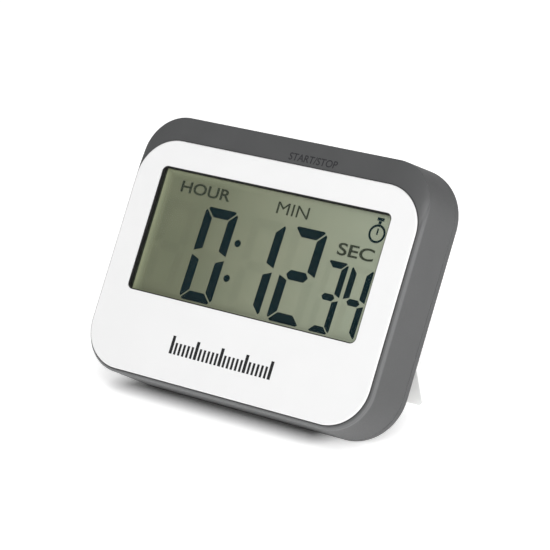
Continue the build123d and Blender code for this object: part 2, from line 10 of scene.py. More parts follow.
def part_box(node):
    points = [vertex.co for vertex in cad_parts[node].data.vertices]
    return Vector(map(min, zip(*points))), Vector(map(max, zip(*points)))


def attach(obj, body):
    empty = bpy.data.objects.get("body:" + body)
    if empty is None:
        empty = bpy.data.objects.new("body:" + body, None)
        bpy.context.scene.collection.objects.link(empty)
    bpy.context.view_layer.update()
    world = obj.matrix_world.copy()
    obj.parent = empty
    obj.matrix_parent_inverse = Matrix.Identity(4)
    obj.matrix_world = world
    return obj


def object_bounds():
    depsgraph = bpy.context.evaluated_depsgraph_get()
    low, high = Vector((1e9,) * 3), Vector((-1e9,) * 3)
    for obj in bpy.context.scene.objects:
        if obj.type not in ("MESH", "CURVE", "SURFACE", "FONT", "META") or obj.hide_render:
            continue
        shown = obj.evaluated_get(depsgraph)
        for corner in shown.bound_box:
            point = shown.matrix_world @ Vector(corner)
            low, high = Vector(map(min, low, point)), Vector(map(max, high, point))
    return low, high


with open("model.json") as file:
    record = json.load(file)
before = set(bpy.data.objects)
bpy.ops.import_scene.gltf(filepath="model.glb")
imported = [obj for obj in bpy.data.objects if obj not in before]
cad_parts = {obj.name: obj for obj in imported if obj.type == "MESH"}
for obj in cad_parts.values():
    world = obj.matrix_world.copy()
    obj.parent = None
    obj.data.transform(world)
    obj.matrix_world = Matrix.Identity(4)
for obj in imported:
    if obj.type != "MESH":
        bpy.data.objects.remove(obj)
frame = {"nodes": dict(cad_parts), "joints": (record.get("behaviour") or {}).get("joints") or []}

cad_low, cad_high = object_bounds()
MM = 0.001

# ---------------------------------------------------------------- frame of the face
joint_axis = {joint["name"]: Vector(joint["axis"]).normalized() for joint in frame["joints"]}
NORMAL = joint_axis["hour_key_press"]       # out of the display, towards the reader
UP = -joint_axis["start_key_press"]         # up the face
RIGHT = UP.cross(NORMAL)

WINDOW_UP = 7.6             # middle of the window above the middle of the panel, mm
WINDOW_WIDTH = 77.8
WINDOW_HEIGHT = 37.0
GASKET_DEPTH = 0.75         # middle of the gasket behind the face of the panel, mm


def middle(node):
    """Centre of a CAD node's box."""
    low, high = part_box(node)
    return (low + high) / 2


face_origin = middle("window_gasket") + NORMAL * GASKET_DEPTH * MM - UP * WINDOW_UP * MM


def on_face(right, up, depth):
    """Point of the row frame from millimetres on the face and behind it."""
    return face_origin + (RIGHT * right + UP * up - NORMAL * depth) * MM


def sheet(depth, facing=1):
    """Matrix that lays a drawing in millimetres at a depth; facing -1 turns it to the back."""
    origin = on_face(0, 0, depth)
    rows = [[RIGHT[i] * facing * MM, UP[i] * MM, NORMAL[i] * facing * MM, origin[i]]
            for i in range(3)]
    return Matrix(rows + [[0, 0, 0, 1]])


# ---------------------------------------------------------------- material building
SOFT = (0.3, 0.7)           # values of a noise taken as its lowest and highest
WIDE = (0.2, 0.8)           # the same where the texture varies less
EDGE_FACING = (0.99, 0.85)  # cosines of the turn where a rounded edge starts and is complete
COLOUR_A, COLOUR_B, COLOUR_OUT = 6, 7, 2    # colour sockets of a Mix node


class Surface:
    """A Principled material, with short ways to add texture to it. Lengths are in millimetres."""

    def __init__(self, name, roughness=0.5, metallic=0.0, **sockets):
        self.material = bpy.data.materials.new(name)
        self.material.use_nodes = True
        self.tree = self.material.node_tree
        self.shader = self.tree.nodes["Principled BSDF"]
        self.place = self.add("ShaderNodeTexCoord").outputs["Object"]
        self.set("Roughness", roughness)
        self.set("Metallic", metallic)
        for socket, value in sockets.items():
            self.set(socket.replace("_", " "), value)

    def add(self, kind, **settings):
        node = self.tree.nodes.new(kind)
        for key, value in settings.items():
            setattr(node, key, value)
        return node

    def feed(self, socket, value):
        if isinstance(value, bpy.types.NodeSocket):
            self.tree.links.new(value, socket)
        else:
            socket.default_value = value

    def set(self, socket, value):
        self.feed(self.shader.inputs[socket], value)

    def stretched(self, factors):
        """Coordinates stretched along the axes of the row frame, for grain with a direction."""
        stretch = self.add("ShaderNodeMapping", vector_type="TEXTURE")
        self.feed(stretch.inputs["Vector"], self.place)
        stretch.inputs["Scale"].default_value = factors
        return stretch.outputs["Vector"]

    def noise(self, size, detail=2.0, place=None):
        node = self.add("ShaderNodeTexNoise")
        self.feed(node.inputs["Vector"], place or self.place)
        node.inputs["Scale"].default_value = 1 / (size * MM)
        node.inputs["Detail"].default_value = detail
        return node.outputs["Fac"]

    def cells(self, size):
        node = self.add("ShaderNodeTexVoronoi", feature="F1")
        self.feed(node.inputs["Vector"], self.place)
        node.inputs["Scale"].default_value = 1 / (size * MM)
        return node.outputs["Distance"]

    def bands(self, size, direction):
        """Stripes of this width, 0 to 1, across a direction of the row frame."""
        return self.math("FRACT", self.math("MULTIPLY", self.along(direction), 1 / (size * MM)))

    def along(self, direction, origin=(0, 0, 0)):
        """Distance in metres along a direction of the row frame."""
        shift = self.add("ShaderNodeVectorMath", operation="SUBTRACT")
        self.feed(shift.inputs[0], self.place)
        shift.inputs[1].default_value = origin
        dot = self.add("ShaderNodeVectorMath", operation="DOT_PRODUCT")
        self.feed(dot.inputs[0], shift.outputs["Vector"])
        dot.inputs[1].default_value = direction
        return dot.outputs["Value"]

    def math(self, operation, first, second=0.0):
        node = self.add("ShaderNodeMath", operation=operation)
        self.feed(node.inputs[0], first)
        self.feed(node.inputs[1], second)
        return node.outputs[0]

    def span(self, value, low, high, to_low=0.0, to_high=1.0):
        node = self.add("ShaderNodeMapRange")
        self.feed(node.inputs["Value"], value)
        limits = (low, high, to_low, to_high)
        for socket, limit in zip(("From Min", "From Max", "To Min", "To Max"), limits):
            node.inputs[socket].default_value = limit
        return node.outputs["Result"]

    def ramp(self, value, *stops):
        """Colour ramp through (place, colour) stops."""
        node = self.add("ShaderNodeValToRGB")
        self.feed(node.inputs["Fac"], value)
        elements = node.color_ramp.elements
        while len(elements) < len(stops):
            elements.new(0.5)
        for element, (place, colour) in zip(elements, stops):
            element.position = place
            element.color = (*colour, 1.0)
        return node.outputs["Color"]

    def between(self, noise, first, second):
        """Colour that goes from the first to the second as a noise rises."""
        return self.ramp(noise, *zip(SOFT, (first, second)))

    def mix(self, share, first, second):
        node = self.add("ShaderNodeMix", data_type="RGBA")
        self.feed(node.inputs["Factor"], share)
        for socket, value in ((COLOUR_A, first), (COLOUR_B, second)):
            self.feed(node.inputs[socket], (*value, 1.0) if isinstance(value, tuple) else value)
        return node.outputs[COLOUR_OUT]

    def times(self, first, second):
        """Product of two colours."""
        node = self.add("ShaderNodeMix", data_type="RGBA", blend_type="MULTIPLY")
        node.inputs["Factor"].default_value = 1.0
        self.feed(node.inputs[COLOUR_A], first)
        self.feed(node.inputs[COLOUR_B], second)
        return node.outputs[COLOUR_OUT]

    def soft_edges(self, radius):
        """The normal with the edges rounded by this radius, and a mask of those edges."""
        bevel = self.add("ShaderNodeBevel", samples=4)
        bevel.inputs["Radius"].default_value = radius * MM
        dot = self.add("ShaderNodeVectorMath", operation="DOT_PRODUCT")
        self.feed(dot.inputs[0], bevel.outputs["Normal"])
        self.feed(dot.inputs[1], self.add("ShaderNodeNewGeometry").outputs["Normal"])
        return bevel.outputs["Normal"], self.span(dot.outputs["Value"], *EDGE_FACING)

    def relief(self, height, depth, normal=None):
        """Raises the surface by height, 0 to 1, times depth."""
        node = self.add("ShaderNodeBump")
        node.inputs["Distance"].default_value = depth * MM
        self.feed(node.inputs["Height"], height)
        if normal is not None:
            self.feed(node.inputs["Normal"], normal)
        self.set("Normal", node.outputs["Normal"])


def shaded(colour, factor):
    """A colour made lighter or darker."""
    return tuple(min(1.0, channel * factor) for channel in colour)


def srgb(*values):
    """Linear colour from 0 to 255 display values."""
    return tuple((value / 255) ** 2.2 for value in values)


# ---------------------------------------------------------------- colours and other looks
CASE_GREY = (0.060, 0.061, 0.062)
PANEL_WHITE = (0.72, 0.72, 0.72)
GLOSS_SPREAD = 0.06         # how much the roughness of moulded plastic varies either way
EDGE_WEAR = 0.12            # how much smoother its edges are
SHOULDER_HIGHLIGHT_RISE = (0.9, 1.4)  # the painted highlight on the case's shoulder comes in between these depths, mm
SHOULDER_HIGHLIGHT_FALL = (2.2, 3.0)  # and goes between these
SHOULDER_HIGHLIGHT_TOP = (24, 32)     # and between these heights above the middle of the panel
GAP_SHADOW_START = 0.40           # painted shadow in the gap round the panel: its sides darken from this depth to the next, mm
GAP_SHADOW_END = 0.55
GAP_SHADOW_COLOUR = (0.04, 0.04, 0.04)
STAND_WHITE = (0.86, 0.86, 0.85)
FILM_IOR = 1.25
# Share of the width, colour there with a painted reflection that makes the film darker to the left,
# and how much paler the painted glow makes it along the edges.
FILM_TONES_AND_PAINTED_LIGHT = ((0.0, srgb(112, 115, 94), 2.0), (0.25, srgb(114, 117, 97), 1.8),
              (0.55, srgb(138, 141, 121), 1.2), (1.0, srgb(153, 158, 140), 1.0))
PAINTED_GLOW_REACH = 4.0            # how far the painted glow reaches in from the left edge, mm
PAINTED_GLOW_DROP = 2.5             # and from the upper edge
# Share of that reach, and how much of the painted glow is left there.
PAINTED_GLOW_FADE = ((0.0, 1.0), (0.3, 0.95), (0.42, 0.62), (0.62, 0.28), (1.0, 0.0))
FILM_PAINTED_SHADOW = 0.18          # share of the reach taken up by a painted shadow along the left and upper edges
PAINTED_SHADOW_BLUR = 0.03          # and how far its edge is blurred either way
FILM_PAINTED_SHADOW_COLOUR = srgb(52, 54, 48)
FLOOR_SHADE_MIDDLE = (-8.0, 0.0, 0.0)   # middle of the floor's part without the painted glow, left as a painted shadow, mm
FLOOR_SHADED = (31.0, 13.0, 0.0)        # and its half sides
FLOOR_BLEND = 9.0           # width over which the glow comes in, mm
FLOOR_PAINTED_GLOW = 0.5            # strength of the floor's painted glow beyond that
LENS_IOR = 1.12             # an anti-glare window mirrors less than plain acrylic
LENS_TINT = (0.955, 0.965, 0.96)
LENS_CLEAR = (0.975, 0.98, 0.975)
SEGMENT = srgb(10, 30, 34)
RESTING_SHARE = 0.93        # how light the resting segments are against the film
SOLDER_MASK = srgb(18, 82, 48)
PLATED_GOLD = srgb(205, 190, 120)
TRACK_PITCH = (1.9, 2.6)    # of the board's tracks, across and up, mm
TRACK_SHARE = (0.28, 0.22)  # share of that pitch which is track
RING_SHARE = (0.25, 0.2)    # and which is a plated ring, where both cross
TRACK_PATCH = 7.0           # size of the areas where the tracks run one way, mm
WRAP_START = 0.012          # the cell's printed wrap starts and ends at these shares of its length
WRAP_END = 0.955
BAND_START = 0.66           # its coloured band starts here
WRAP_DARK = srgb(32, 36, 44)
WRAP_BAND = srgb(196, 120, 44)
STEEL = srgb(190, 190, 188)
NICKEL = (0.70, 0.68, 0.64)


# ---------------------------------------------------------------- materials
def moulded(name, colour, roughness, grain=0.3, depth=0.006, mottle=0.04, edge=0.18, edge_wear_and_highlight=1.25,
            shoulder_highlight=0.0):
    """Moulded plastic: faint mottling, fine eroded grain, and softened edges that are smoother from
    wear and painted lighter, partly as wear and partly as a painted highlight.

    A shoulder highlight above 0 lightens the case's rounded front edge by that factor as a painted
    highlight, except at the top.
    """
    look = Surface(name, IOR=1.49)
    normal, worn_and_highlit_edge = look.soft_edges(edge)
    cloud = look.noise(9.0, 3.0)
    speck = look.noise(grain, 2.0)
    body = look.between(cloud, shaded(colour, 1 - mottle), shaded(colour, 1 + mottle))
    if shoulder_highlight:
        # Painted highlight along the case's rounded front edge, between two depths and below the
        # top.
        reach = look.along(-NORMAL, face_origin)
        rise, fall, top = [[limit * MM for limit in pair]
                           for pair in (SHOULDER_HIGHLIGHT_RISE, SHOULDER_HIGHLIGHT_FALL, SHOULDER_HIGHLIGHT_TOP)]
        highlight_band = look.math("MULTIPLY", look.span(reach, *rise), look.span(reach, *fall, 1.0, 0.0))
        below_top = look.span(look.along(UP, face_origin), *top, 1.0, 0.0)
        body = look.mix(look.math("MULTIPLY", highlight_band, below_top), body, shaded(colour, shoulder_highlight))
    # Edges painted lighter by a factor: partly wear, partly a painted highlight.
    look.set("Base Color", look.mix(worn_and_highlit_edge, body, shaded(colour, edge_wear_and_highlight)))
    gloss = look.span(speck, *WIDE, roughness - GLOSS_SPREAD, roughness + GLOSS_SPREAD)
    worn = look.math("MULTIPLY", worn_and_highlit_edge, -EDGE_WEAR)
    look.set("Roughness", look.math("ADD", gloss, worn))
    look.relief(look.noise(grain, 3.0), depth, normal)
    return look.material


def glossy_panel(name, colour):
    """Smooth white front: slight waviness, a gloss dulled by handling, edges painted a little
    lighter as wear and painted highlight, and sides painted dark as the shadow in the gap round it.
    """
    look = Surface(name, IOR=1.49, Coat_Weight=0.25, Coat_Roughness=0.08)
    normal, worn_and_highlit_edge = look.soft_edges(0.2)
    cloud = look.noise(14.0, 2.0)
    body = look.between(cloud, shaded(colour, 0.985), colour)
    # Painted shadow darkens the panel's sides below a depth, where the gap round it is in shade;
    # its edges are painted a little lighter, partly wear, partly a painted highlight.
    gap_shadow = look.span(look.along(-NORMAL, face_origin), GAP_SHADOW_START * MM, GAP_SHADOW_END * MM)
    look.set("Base Color", look.mix(gap_shadow, look.mix(worn_and_highlit_edge, body, shaded(colour, 1.03)), GAP_SHADOW_COLOUR))
    look.set("Roughness", look.span(look.noise(5.0, 4.0), *SOFT, 0.30, 0.38))
    look.relief(look.noise(2.5, 2.0), 0.004, normal)
    return look.material


def display_film(name, strength=1.0):
    """Front film of the display: olive grey, painted darker to the left as a painted reflection,
    with a fine silvery sparkle.

    A painted glow makes the film paler along the left and upper edges, as light leaking in round
    the window would, and a painted shadow darkens a thin margin next to those edges.
    """
    look = Surface(name, IOR=FILM_IOR)
    low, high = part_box("front_polarizer")
    share = look.span(look.along(RIGHT), low.x, high.x)
    # Painted reflection: the film's colour goes from darker at the left to lighter at the right.
    painted_shading_tone = look.ramp(share, *((place, shaded(colour, strength)) for place, colour, _ in FILM_TONES_AND_PAINTED_LIGHT))
    painted_glow_tone = look.ramp(share, *((place, shaded(colour, strength * painted_glow))
                              for place, colour, painted_glow in FILM_TONES_AND_PAINTED_LIGHT))
    corner = on_face(-WINDOW_WIDTH / 2, WINDOW_UP + WINDOW_HEIGHT / 2, 0)
    from_left = look.along(RIGHT, corner)
    from_top = look.math("MULTIPLY", look.along(-UP, corner), PAINTED_GLOW_REACH / PAINTED_GLOW_DROP)
    near = look.math("DIVIDE", look.math("MINIMUM", from_left, from_top), PAINTED_GLOW_REACH * MM)
    # Painted glow, as of light leaking in round the window, paler along the left and upper edges.
    painted_glow = look.ramp(near, *((place, (level,) * 3) for place, level in PAINTED_GLOW_FADE))
    # Painted shadow: a dark margin next to the window's left and upper edges.
    painted_shadow = look.span(near, FILM_PAINTED_SHADOW - PAINTED_SHADOW_BLUR, FILM_PAINTED_SHADOW + PAINTED_SHADOW_BLUR, 1.0, 0.0)
    sparkle = look.noise(0.12, 1.0)
    grain = look.ramp(sparkle, (0.35, (0.93,) * 3), (0.65, (1.0,) * 3))
    film_with_painted_glow = look.mix(painted_glow, painted_shading_tone, painted_glow_tone)
    look.set("Base Color", look.mix(painted_shadow, look.times(film_with_painted_glow, grain), FILM_PAINTED_SHADOW_COLOUR))
    look.set("Roughness", look.span(sparkle, *SOFT, 0.42, 0.55))
    look.relief(sparkle, 0.002)
    return look.material


def display_ink(name, colour, roughness=0.5, ior=1.15):
    """Crystal segments and printed ink: dark, with a faint change of density."""
    look = Surface(name, IOR=ior)
    cloud = look.noise(1.2, 3.0)
    look.set("Base Color", look.between(cloud, colour, shaded(colour, 1.35)))
    look.set("Roughness", look.span(look.noise(0.3), *SOFT, roughness - 0.05, roughness + 0.05))
    return look.material


def clear_lens(name):
    """Acrylic window: clear, mirroring a little at low angles, with faint smudges in its gloss."""
    look = Surface(name)
    tree = look.tree
    tree.nodes.remove(look.shader)
    gloss = look.add("ShaderNodeBsdfGlossy")
    smudge = look.span(look.noise(6.0, 4.0), 0.35, 0.7, 0.04, 0.10)
    look.feed(gloss.inputs["Roughness"], smudge)
    clear = look.add("ShaderNodeBsdfTransparent")
    look.feed(clear.inputs["Color"], look.between(look.noise(8.0), LENS_TINT, LENS_CLEAR))
    fresnel = look.add("ShaderNodeFresnel")
    fresnel.inputs["IOR"].default_value = LENS_IOR
    blend = look.add("ShaderNodeMixShader")
    look.feed(blend.inputs["Fac"], fresnel.outputs["Fac"])
    look.feed(blend.inputs[1], clear.outputs[0])
    look.feed(blend.inputs[2], gloss.outputs[0])
    look.feed(tree.nodes["Material Output"].inputs["Surface"], blend.outputs[0])
    return look.material


def metal(name, colour, roughness, size=0.2, depth=0.003, stretch=None):
    """Sheet or turned metal with fine scratches, brighter and duller in patches."""
    look = Surface(name, metallic=1.0)
    normal, worn_and_highlit_edge = look.soft_edges(0.08)
    cloud = look.noise(3.0, 4.0)
    body = look.ramp(cloud, (0.25, shaded(colour, 0.8)), (0.75, shaded(colour, 1.1)))
    # Edges painted lighter, partly as wear and partly as a painted highlight.
    look.set("Base Color", look.mix(worn_and_highlit_edge, body, shaded(colour, 1.3)))
    place = look.stretched(stretch) if stretch else None
    scratch = look.noise(size, 3.0, place)
    look.set("Roughness", look.span(scratch, *WIDE, roughness - 0.08, roughness + 0.12))
    look.relief(scratch, depth, normal)
    return look.material


def rubber(name, colour, roughness=0.7):
    """Dull elastomer with a fine tooth."""
    look = Surface(name, IOR=1.45)
    cloud = look.noise(2.0, 3.0)
    look.set("Base Color", look.between(cloud, shaded(colour, 0.8), shaded(colour, 1.2)))
    look.set("Roughness", look.span(look.noise(0.2), *WIDE, roughness - 0.08, roughness + 0.08))
    look.relief(look.noise(0.15, 2.0), 0.01)
    return look.material


def striped_rubber(name):
    """Contact strip: thin conducting layers between pale insulating ones."""
    look = Surface(name, roughness=0.6)
    layers = look.bands(0.18, RIGHT)
    body = look.ramp(layers, (0.45, srgb(225, 215, 205)), (0.55, srgb(40, 38, 38)))
    look.set("Base Color", look.mix(look.span(look.noise(1.0), *WIDE, 0.0, 0.2), body,
                                    srgb(150, 140, 135)))
    look.relief(layers, 0.01)
    return look.material


def circuit_board(name):
    """Green solder mask over tracks, with pale plated rings where the pattern crosses."""
    look = Surface(name, roughness=0.35, IOR=1.5, Coat_Weight=0.3, Coat_Roughness=0.15)
    across = look.bands(TRACK_PITCH[0], RIGHT)
    upward = look.bands(TRACK_PITCH[1], UP)
    route = look.math("GREATER_THAN", look.noise(TRACK_PATCH, 1.0), 0.5)
    first = look.math("LESS_THAN", across, TRACK_SHARE[0])
    second = look.math("LESS_THAN", upward, TRACK_SHARE[1])
    tracks = look.math("ADD", look.math("MULTIPLY", first, route),
                       look.math("MULTIPLY", second, look.math("SUBTRACT", 1.0, route)))
    base = look.mix(tracks, SOLDER_MASK, shaded(SOLDER_MASK, 1.8))
    rings = look.math("MULTIPLY", look.math("LESS_THAN", across, RING_SHARE[0]),
                      look.math("LESS_THAN", upward, RING_SHARE[1]))
    look.set("Base Color", look.mix(rings, base, PLATED_GOLD))
    look.relief(tracks, 0.03)
    return look.material


def battery_wrap(name):
    """Printed foil round the cell: a dark body, a coloured band and bare metal at the ends."""
    look = Surface(name, Coat_Weight=0.4, Coat_Roughness=0.1)
    low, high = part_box("battery_cell")
    share = look.span(look.along(RIGHT), low.x, high.x)
    bands = look.ramp(share, (0.0, STEEL), (WRAP_START, WRAP_DARK), (BAND_START, WRAP_BAND),
                      (WRAP_END, STEEL))
    bands.node.color_ramp.interpolation = "CONSTANT"
    haze = look.span(look.noise(3.0, 3.0), *SOFT, 0.0, 0.12)
    look.set("Base Color", look.mix(haze, bands, srgb(240, 240, 240)))
    bare = look.math("ADD", look.math("LESS_THAN", share, WRAP_START),
                     look.math("GREATER_THAN", share, WRAP_END))
    look.set("Metallic", bare)
    look.set("Roughness", look.span(look.noise(0.8, 3.0), *SOFT, 0.24, 0.36))
    look.relief(look.noise(1.5, 2.0), 0.01)
    return look.material


def glass(name, colour):
    """Display glass seen on edge: a cool, faintly green pane."""
    look = Surface(name, IOR=1.52, Transmission_Weight=0.6)
    look.set("Base Color", look.between(look.noise(12.0), colour, shaded(colour, 1.08)))
    look.set("Roughness", look.span(look.noise(4.0), *SOFT, 0.04, 0.10))
    return look.material


def silver_film(name):
    """Diffusing reflector behind the display."""
    look = Surface(name, metallic=0.6)
    look.set("Base Color", look.between(look.noise(0.3), srgb(160, 165, 150), srgb(190, 194, 180)))
    look.set("Roughness", look.span(look.noise(0.2), *WIDE, 0.45, 0.6))
    look.relief(look.noise(0.2), 0.003)
    return look.material


def ceramic(name):
    """Silvered piezo disc."""
    look = Surface(name, metallic=0.3)
    look.set("Base Color", look.between(look.noise(1.0, 4.0), srgb(196, 192, 180),
                                        srgb(222, 218, 208)))
    look.set("Roughness", look.span(look.noise(0.4), *WIDE, 0.45, 0.65))
    look.relief(look.cells(0.15), 0.004)
    return look.material


def floor_with_painted_glow(name):
    """Pale matt floor with a barely visible unevenness; it glows as painted light everywhere but in
    a box under the timer, which is left as a painted shadow.
    """
    look = Surface(name, roughness=0.9, Emission_Color=(1.0, 1.0, 1.0, 1.0))
    # The distance outside a box round the part without the painted glow, the painted shadow under
    # the timer.
    outside = look.place
    for operation, other in (("SUBTRACT", [place * MM for place in FLOOR_SHADE_MIDDLE]),
                             ("ABSOLUTE", None), ("SUBTRACT", [side * MM for side in FLOOR_SHADED]),
                             ("MAXIMUM", (0.0, 0.0, 0.0)), ("LENGTH", None)):
        step = look.add("ShaderNodeVectorMath", operation=operation)
        look.feed(step.inputs[0], outside)
        if other is not None:
            step.inputs[1].default_value = other
        outside = step.outputs["Value" if operation == "LENGTH" else "Vector"]
    # Painted light: the floor glows more the further it is from that box.
    look.set("Emission Strength", look.span(outside, 0.0, FLOOR_BLEND * MM, 0.0, FLOOR_PAINTED_GLOW))
    look.set("Base Color", look.between(look.noise(180.0, 3.0), srgb(249, 249, 249),
                                        srgb(252, 252, 252)))
    look.relief(look.noise(4.0, 2.0), 0.01)
    return look.material


case_plastic = moulded("case_plastic", CASE_GREY, 0.50)
front_plastic = moulded("front_plastic", CASE_GREY, 0.50, shoulder_highlight=2.0)
key_plastic = moulded("key_plastic", shaded(CASE_GREY, 1.05), 0.46, grain=0.25)
panel_plastic = glossy_panel("panel_plastic", PANEL_WHITE)
stand_plastic = moulded("stand_plastic", STAND_WHITE, 0.40, grain=0.4, mottle=0.015, edge_wear_and_highlight=1.05)
holder_plastic = moulded("holder_plastic", srgb(232, 230, 222), 0.5, mottle=0.02, edge_wear_and_highlight=1.05)
plunger_plastic = moulded("plunger_plastic", srgb(236, 232, 220), 0.4, mottle=0.02, edge_wear_and_highlight=1.05)
switch_plastic = moulded("switch_plastic", srgb(34, 34, 36), 0.5, mottle=0.08)
gasket_rubber = rubber("gasket_rubber", srgb(18, 18, 19))
epoxy = rubber("epoxy", srgb(20, 20, 22), 0.35)

NODE_MATERIALS = {
    "front_housing": front_plastic,
    "rear_cover": case_plastic,
    "start_key": key_plastic,
    "hour_key": key_plastic,
    "minute_key": key_plastic,
    "second_key": key_plastic,
    "reset_key": key_plastic,
    "mode_knob": key_plastic,
    "battery_door": case_plastic,
    "front_panel": panel_plastic,
    "stand": stand_plastic,
    "window_gasket": gasket_rubber,
    "display_lens": clear_lens("window_acrylic"),
    "front_polarizer": display_film("display_film"),
    "display_front_glass": glass("front_glass", (0.86, 0.92, 0.89)),
    "display_rear_glass": glass("rear_glass", (0.80, 0.88, 0.85)),
    "rear_reflector": silver_film("reflector_film"),
    "display_holder": holder_plastic,
    "contact_strips": striped_rubber("contact_strip"),
    "main_board": circuit_board("solder_mask"),
    "processor_blob": epoxy,
    "quartz_crystal": metal("crystal_can", srgb(200, 200, 198), 0.25),
    "board_chips": rubber("chip_body", srgb(60, 52, 44), 0.5),
    "board_screws": metal("plated_screw", srgb(205, 205, 200), 0.3),
    "case_screws": metal("blackened_screw", srgb(150, 150, 152), 0.35),
    "key_switches": switch_plastic,
    "start_switch": switch_plastic,
    "slide_switch": metal("switch_shell", NICKEL, 0.35, stretch=(8.0, 1.0, 1.0)),
    "mode_slider": switch_plastic,
    "buzzer_plate": metal("brass_disc", srgb(214, 178, 96), 0.35),
    "buzzer_ceramic": ceramic("piezo_ceramic"),
    "buzzer_springs": metal("spring_wire", srgb(190, 188, 184), 0.3, size=0.1),
    "battery_cell": battery_wrap("cell_wrap"),
    "battery_contacts": metal("contact_plate", NICKEL, 0.3, stretch=(1.0, 1.0, 8.0)),
    "battery_spring": metal("contact_spring", srgb(196, 192, 184), 0.28, size=0.1),
}
for plunger in ("hour_plunger", "minute_plunger", "second_plunger", "reset_plunger",
                "start_plunger"):
    NODE_MATERIALS[plunger] = plunger_plastic

for node, obj in frame["nodes"].items():
    for slot in obj.material_slots:
        slot.material = NODE_MATERIALS[node]


# ---------------------------------------------------------------- drawn pieces
INK = 0.02                  # thickness of segments and print, mm
SINK = 0.01                 # how far they reach into what they lie on, mm
DROP = 5.0                  # where a drawing starts its drop onto a surface, above it, mm
CIRCLE_CORNERS = 28
LETTER_STEPS = 6            # straight steps in each curve of a letter
WELD = 0.0001               # letters' points closer than this are joined, in units of the font


def piece(name, mesh, material, body):
    """A finished mesh as a piece that moves with a body."""
    obj = bpy.data.objects.new(name, mesh)
    bpy.context.scene.collection.objects.link(obj)
    mesh.materials.append(material)
    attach(obj, body)


def raised(outlines, matrix, height, sunk, rings=()):
    """Mesh of flat shapes, drawn in millimetres as closed outlines, standing on a sheet.

    A ring is a pair of outlines with the same number of corners, one inside the other.
    """
    shape = bmesh.new()
    for ring in rings:
        low_in, high_in, low_out, high_out = [[shape.verts.new((x, y, z)) for x, y in outline]
                                              for outline in ring for z in (-sunk, height)]
        for i in range(len(low_in)):
            after = (i + 1) % len(low_in)
            for near, far in ((low_in, low_out), (low_out, high_out), (high_out, high_in),
                              (high_in, low_in)):
                shape.faces.new((near[i], near[after], far[after], far[i]))
    for outline in outlines:
        lower = [shape.verts.new((x, y, -sunk)) for x, y in outline]
        upper = [shape.verts.new((x, y, height)) for x, y in outline]
        shape.faces.new(upper)
        shape.faces.new(lower[::-1])
        for i, here in enumerate(lower):
            after = (i + 1) % len(lower)
            shape.faces.new((here, lower[after], upper[after], upper[i]))
    bmesh.ops.recalc_face_normals(shape, faces=shape.faces)
    return finished_mesh(shape, matrix)


def laid_on(mesh, node, height, sunk, facing=1):
    """Drops a flat mesh along the face's normal onto a CAD node, with its top at a height."""
    surface = frame["nodes"][node]
    out = NORMAL * facing
    levels = [(vert.co - face_origin).dot(out) for vert in mesh.vertices]
    middle_level = (min(levels) + max(levels)) / 2
    for vert, level in zip(mesh.vertices, levels):
        start = vert.co + out * (DROP * MM - (level - middle_level))
        place = surface.ray_cast(start, -out)[1]
        vert.co = place + out * (height if level > middle_level else -sunk) * MM
    return mesh


def finished_mesh(shape, matrix):
    """Writes a bmesh out in the row frame."""
    shape.transform(matrix)
    mesh = bpy.data.meshes.new("drawn")
    shape.to_mesh(mesh)
    shape.free()
    return mesh


def round_outline(centre, radius):
    """A circle."""
    steps = [2 * pi * i / CIRCLE_CORNERS for i in range(CIRCLE_CORNERS)]
    return [(centre[0] + radius * cos(a), centre[1] + radius * sin(a)) for a in steps]


def bar(x, y, width, height):
    """A rectangle from its lower left corner."""
    return [(x, y), (x + width, y), (x + width, y + height), (x, y + height)]


def lettering(words, matrix, left, bottom, width, height, thickness, weight=0.0):
    """Mesh of letters that fill a box on a sheet; a weight above 0 makes them bolder."""
    curve = bpy.data.curves.new("letters", "FONT")
    curve.body = words
    curve.size = 1.0
    curve.extrude = 0.5     # any depth does, because the letters are scaled to their thickness
    curve.offset = weight
    curve.resolution_u = LETTER_STEPS
    text = bpy.data.objects.new("letters", curve)
    bpy.context.scene.collection.objects.link(text)
    bpy.context.view_layer.update()
    depsgraph = bpy.context.evaluated_depsgraph_get()
    mesh = bpy.data.meshes.new_from_object(text.evaluated_get(depsgraph))
    bpy.data.objects.remove(text)
    shape = bmesh.new()
    shape.from_mesh(mesh)
    bpy.data.meshes.remove(mesh)
    bmesh.ops.remove_doubles(shape, verts=shape.verts, dist=WELD)
    low = [min(v.co[i] for v in shape.verts) for i in range(3)]
    high = [max(v.co[i] for v in shape.verts) for i in range(3)]
    for vert in shape.verts:
        x, y, z = ((vert.co[i] - low[i]) / (high[i] - low[i]) for i in range(3))
        vert.co = (left + x * width, bottom + y * height, z * thickness)
    return finished_mesh(shape, matrix)


# ---------------------------------------------------------------- display contents
FILM_DEPTH = 1.85           # face of the display film behind the panel's face, mm
SLANT = tan(radians(1.2))
CORNER_CUT = 0.35           # bevel at a digit's outer corners, as a share of the stroke
SIDE_FOOT = 0.1             # extra gap at the outer corner next to the digit's middle, likewise
MIDDLE_TIP = 0.6            # how far in the middle segment has its points, likewise
# Lit segments of each figure.
SHOWN = {" ": "", "0": "abcdef", "1": "bc", "2": "abged", "3": "abgcd", "4": "fgbc"}
# Sizes of the figures in mm; their middle is measured up from the middle of the panel.
LARGE = {"width": 11.2, "height": 27.4, "stroke": 2.8, "gap": 0.3, "middle": 3.75}
SMALL = {"width": 7.0, "height": 20.4, "stroke": 1.9, "gap": 0.22, "middle": 0.14}
# Left edge, figure and size.
DIGITS = [(-35.6, " ", LARGE), (-21.65, "0", LARGE), (-5.25, "1", LARGE), (8.5, "2", LARGE),
          (22.05, "3", SMALL), (30.2, "4", SMALL)]
COLON = [(-7.8, 8.9), (-8.0, -1.4)]     # middles of its two dots
COLON_RADIUS = 1.05


